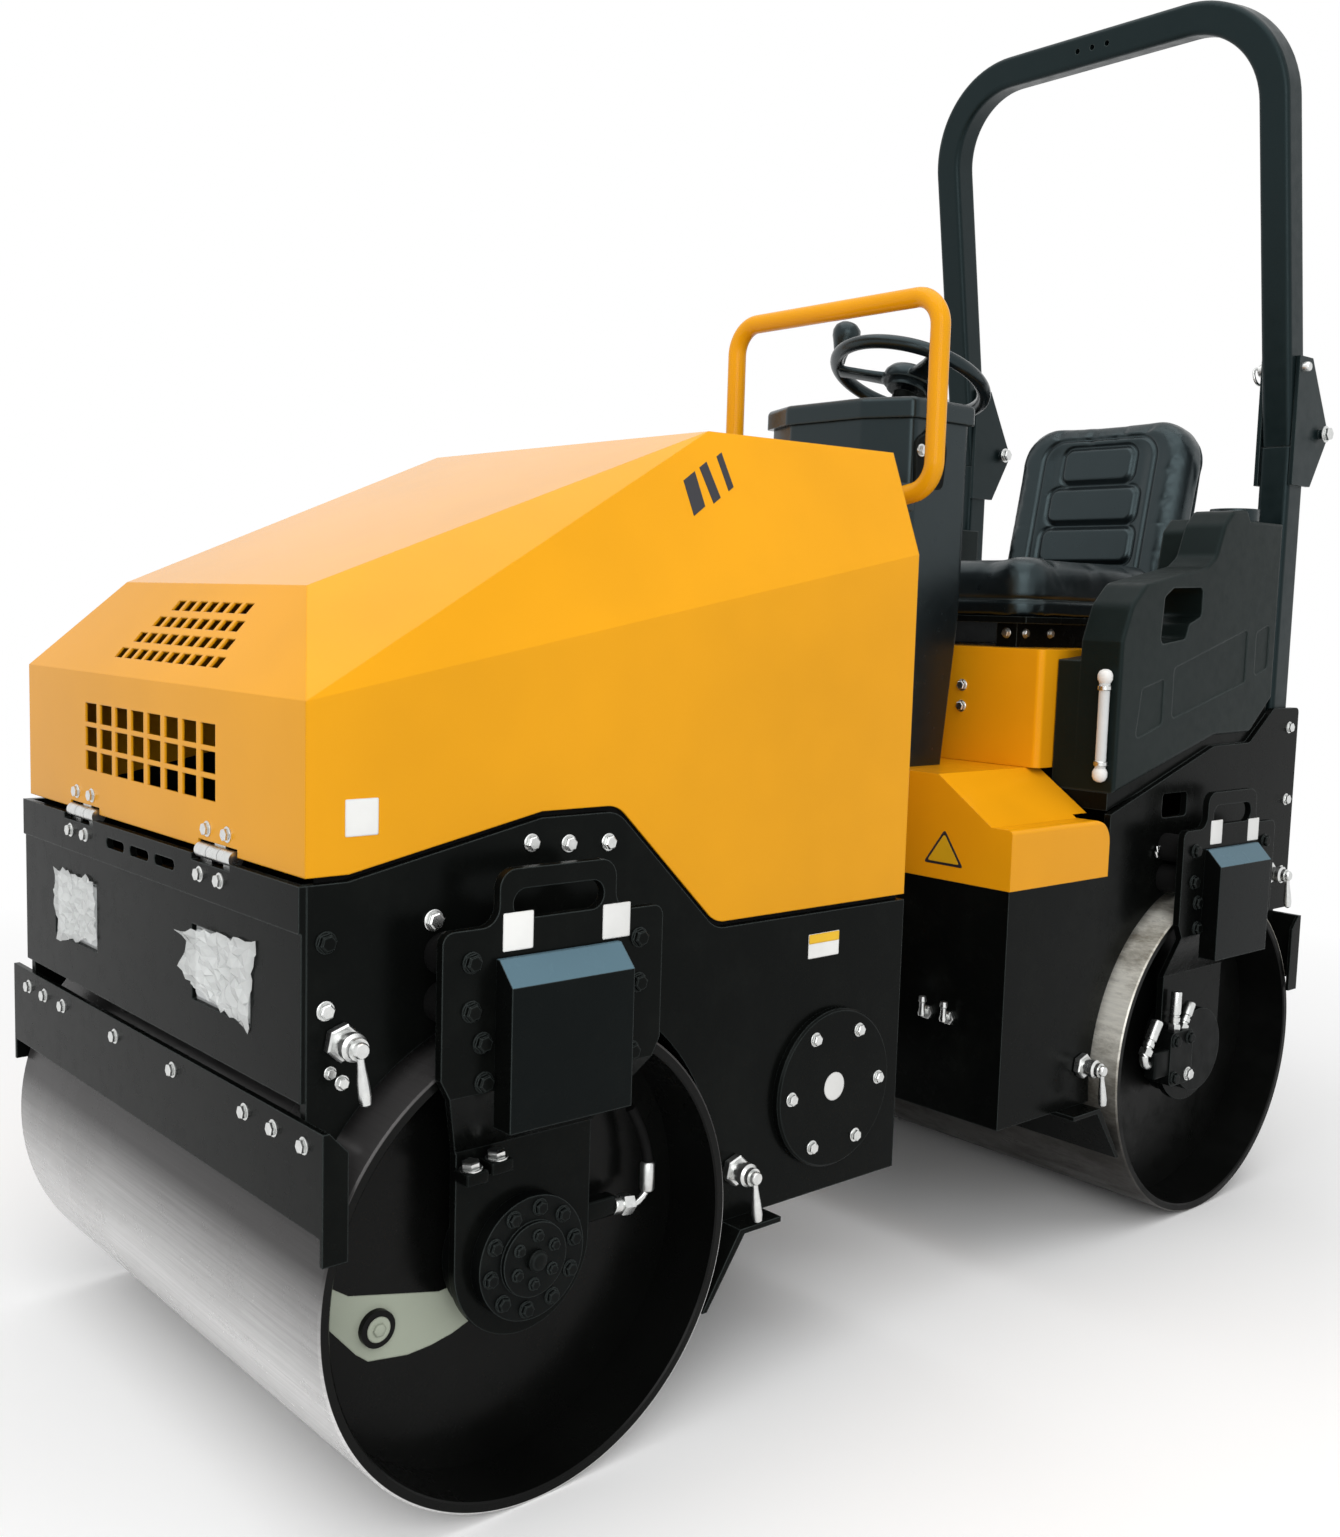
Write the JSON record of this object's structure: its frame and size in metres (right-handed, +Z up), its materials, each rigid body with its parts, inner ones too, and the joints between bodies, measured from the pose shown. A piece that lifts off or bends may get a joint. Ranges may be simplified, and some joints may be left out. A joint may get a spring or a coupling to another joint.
{
  "type": "road roller",
  "caption": "Compact ride-on tandem road roller with smooth steel drums, a faceted tilting hood, an open operator's seat with side water tanks and a folding roll bar.",
  "frame": {"origin": "bottom centre of the bounding box, on the ground under the middle of the machine", "axes": "+Z up, -Y towards the front, +X towards the machine's left side"},
  "size_m": [1.0006, 2.1463, 2.1967],
  "materials": {
    "yellow_paint": "gloss",
    "dark_paint": "gloss",
    "bar_paint": "satin",
    "drum_steel": "satin",
    "rear_drum_steel": "worn",
    "dark_casting": "satin",
    "bright_steel": "gloss",
    "tank_plastic": "grained",
    "trim_plastic": "grained",
    "seat_vinyl": "satin",
    "rubber": "matte",
    "lamp_plastic": "gloss"
  },
  "bodies": {
    "front_body": {"front_frame": "dark_paint", "pivot_pin": "bright_steel", "front_panel": "dark_paint", "headlamps": "lamp_plastic", "hood_hinges_lower": "dark_paint", "engine_block": "dark_casting", "tank_cover": "dark_paint", "front_arms": "dark_paint", "front_arm_covers": "dark_paint", "front_buffers": "rubber", "front_hubs": "dark_casting", "front_scraper_outer": "dark_paint", "front_scraper_inner": "dark_paint", "front_spray_bars": "bright_steel"},
    "rear_body": {"rear_frame": "dark_paint", "platform": "yellow_paint", "seat_pedestal": "yellow_paint", "seat_rails": "dark_paint", "seat_cushion": "seat_vinyl", "seat_back": "seat_vinyl", "water_tank_left": "tank_plastic", "water_tank_right": "tank_plastic", "tank_caps": "trim_plastic", "sight_tube": "lamp_plastic", "console": "trim_plastic", "console_lid": "trim_plastic", "steering_column": "dark_paint", "grab_rail": "yellow_paint", "rops_posts": "bar_paint", "rear_arms": "dark_paint", "rear_arm_covers": "dark_paint", "rear_buffers": "rubber", "rear_hubs": "dark_casting", "rear_scraper_outer": "dark_paint", "rear_scraper_inner": "dark_paint", "rear_spray_bars": "bright_steel"},
    "hood": {"hood": "yellow_paint", "hood_hinges_upper": "dark_paint"},
    "front_drum": {"front_drum": "drum_steel"},
    "rear_drum": {"rear_drum": "rear_drum_steel"},
    "yoke": {"centre_yoke": "dark_casting"},
    "cylinder_barrel": {"steering_barrel": "dark_paint"},
    "cylinder_rod": {"steering_rod": "bright_steel"},
    "steering_wheel": {"steering_wheel": "trim_plastic"},
    "roll_bar": {"rops_hoop": "bar_paint"}
  },
  "joints": [
    {"name": "hood_tilt", "type": "hinge", "parent": "front_body", "child": "hood", "pos_m": [0, -1.06285, 0.761], "axis": [1, 0, 0], "range_deg": [0, 60]},
    {"name": "front_drum_spin", "type": "hinge", "parent": "front_body", "child": "front_drum", "pos_m": [0, -0.77985, 0.29], "axis": [1, 0, 0], "continuous": true},
    {"name": "steer", "type": "hinge", "parent": "front_body", "child": "yoke", "pos_m": [0, -0.03985, 0.43], "axis": [0, 0, 1], "range_deg": [-30, 30]},
    {"name": "oscillate", "type": "hinge", "parent": "yoke", "child": "rear_body", "pos_m": [0, 0.21015, 0.43], "axis": [0, 1, 0], "range_deg": [-7, 7]},
    {"name": "rear_drum_spin", "type": "hinge", "parent": "rear_body", "child": "rear_drum", "pos_m": [0, 0.70015, 0.29], "axis": [1, 0, 0], "continuous": true},
    {"name": "steering_wheel_spin", "type": "hinge", "parent": "rear_body", "child": "steering_wheel", "pos_m": [0, 0.33215, 1.47], "axis": [0, 0.3584, 0.9336], "continuous": true},
    {"name": "roll_bar_fold", "type": "hinge", "parent": "rear_body", "child": "roll_bar", "pos_m": [0, 1.04515, 1.415], "axis": [-1, 0, 0], "range_deg": [0, 100]},
    {"name": "cylinder_swing", "type": "hinge", "parent": "front_body", "child": "cylinder_barrel", "pos_m": [0.2, -0.36485, 0.43], "axis": [0, 0, 1], "range_deg": [-5, 5]},
    {"name": "cylinder_stroke", "type": "slide", "parent": "cylinder_barrel", "child": "cylinder_rod", "axis": [-0.0739, 0.9973, 0], "range_m": [-0.092, 0.092]}
  ],
  "couplings": [
    {"joint": "cylinder_stroke", "follows": "steer", "m_per_rad": 0.174},
    {"joint": "cylinder_swing", "follows": "steer", "ratio": 0.165}
  ]
}
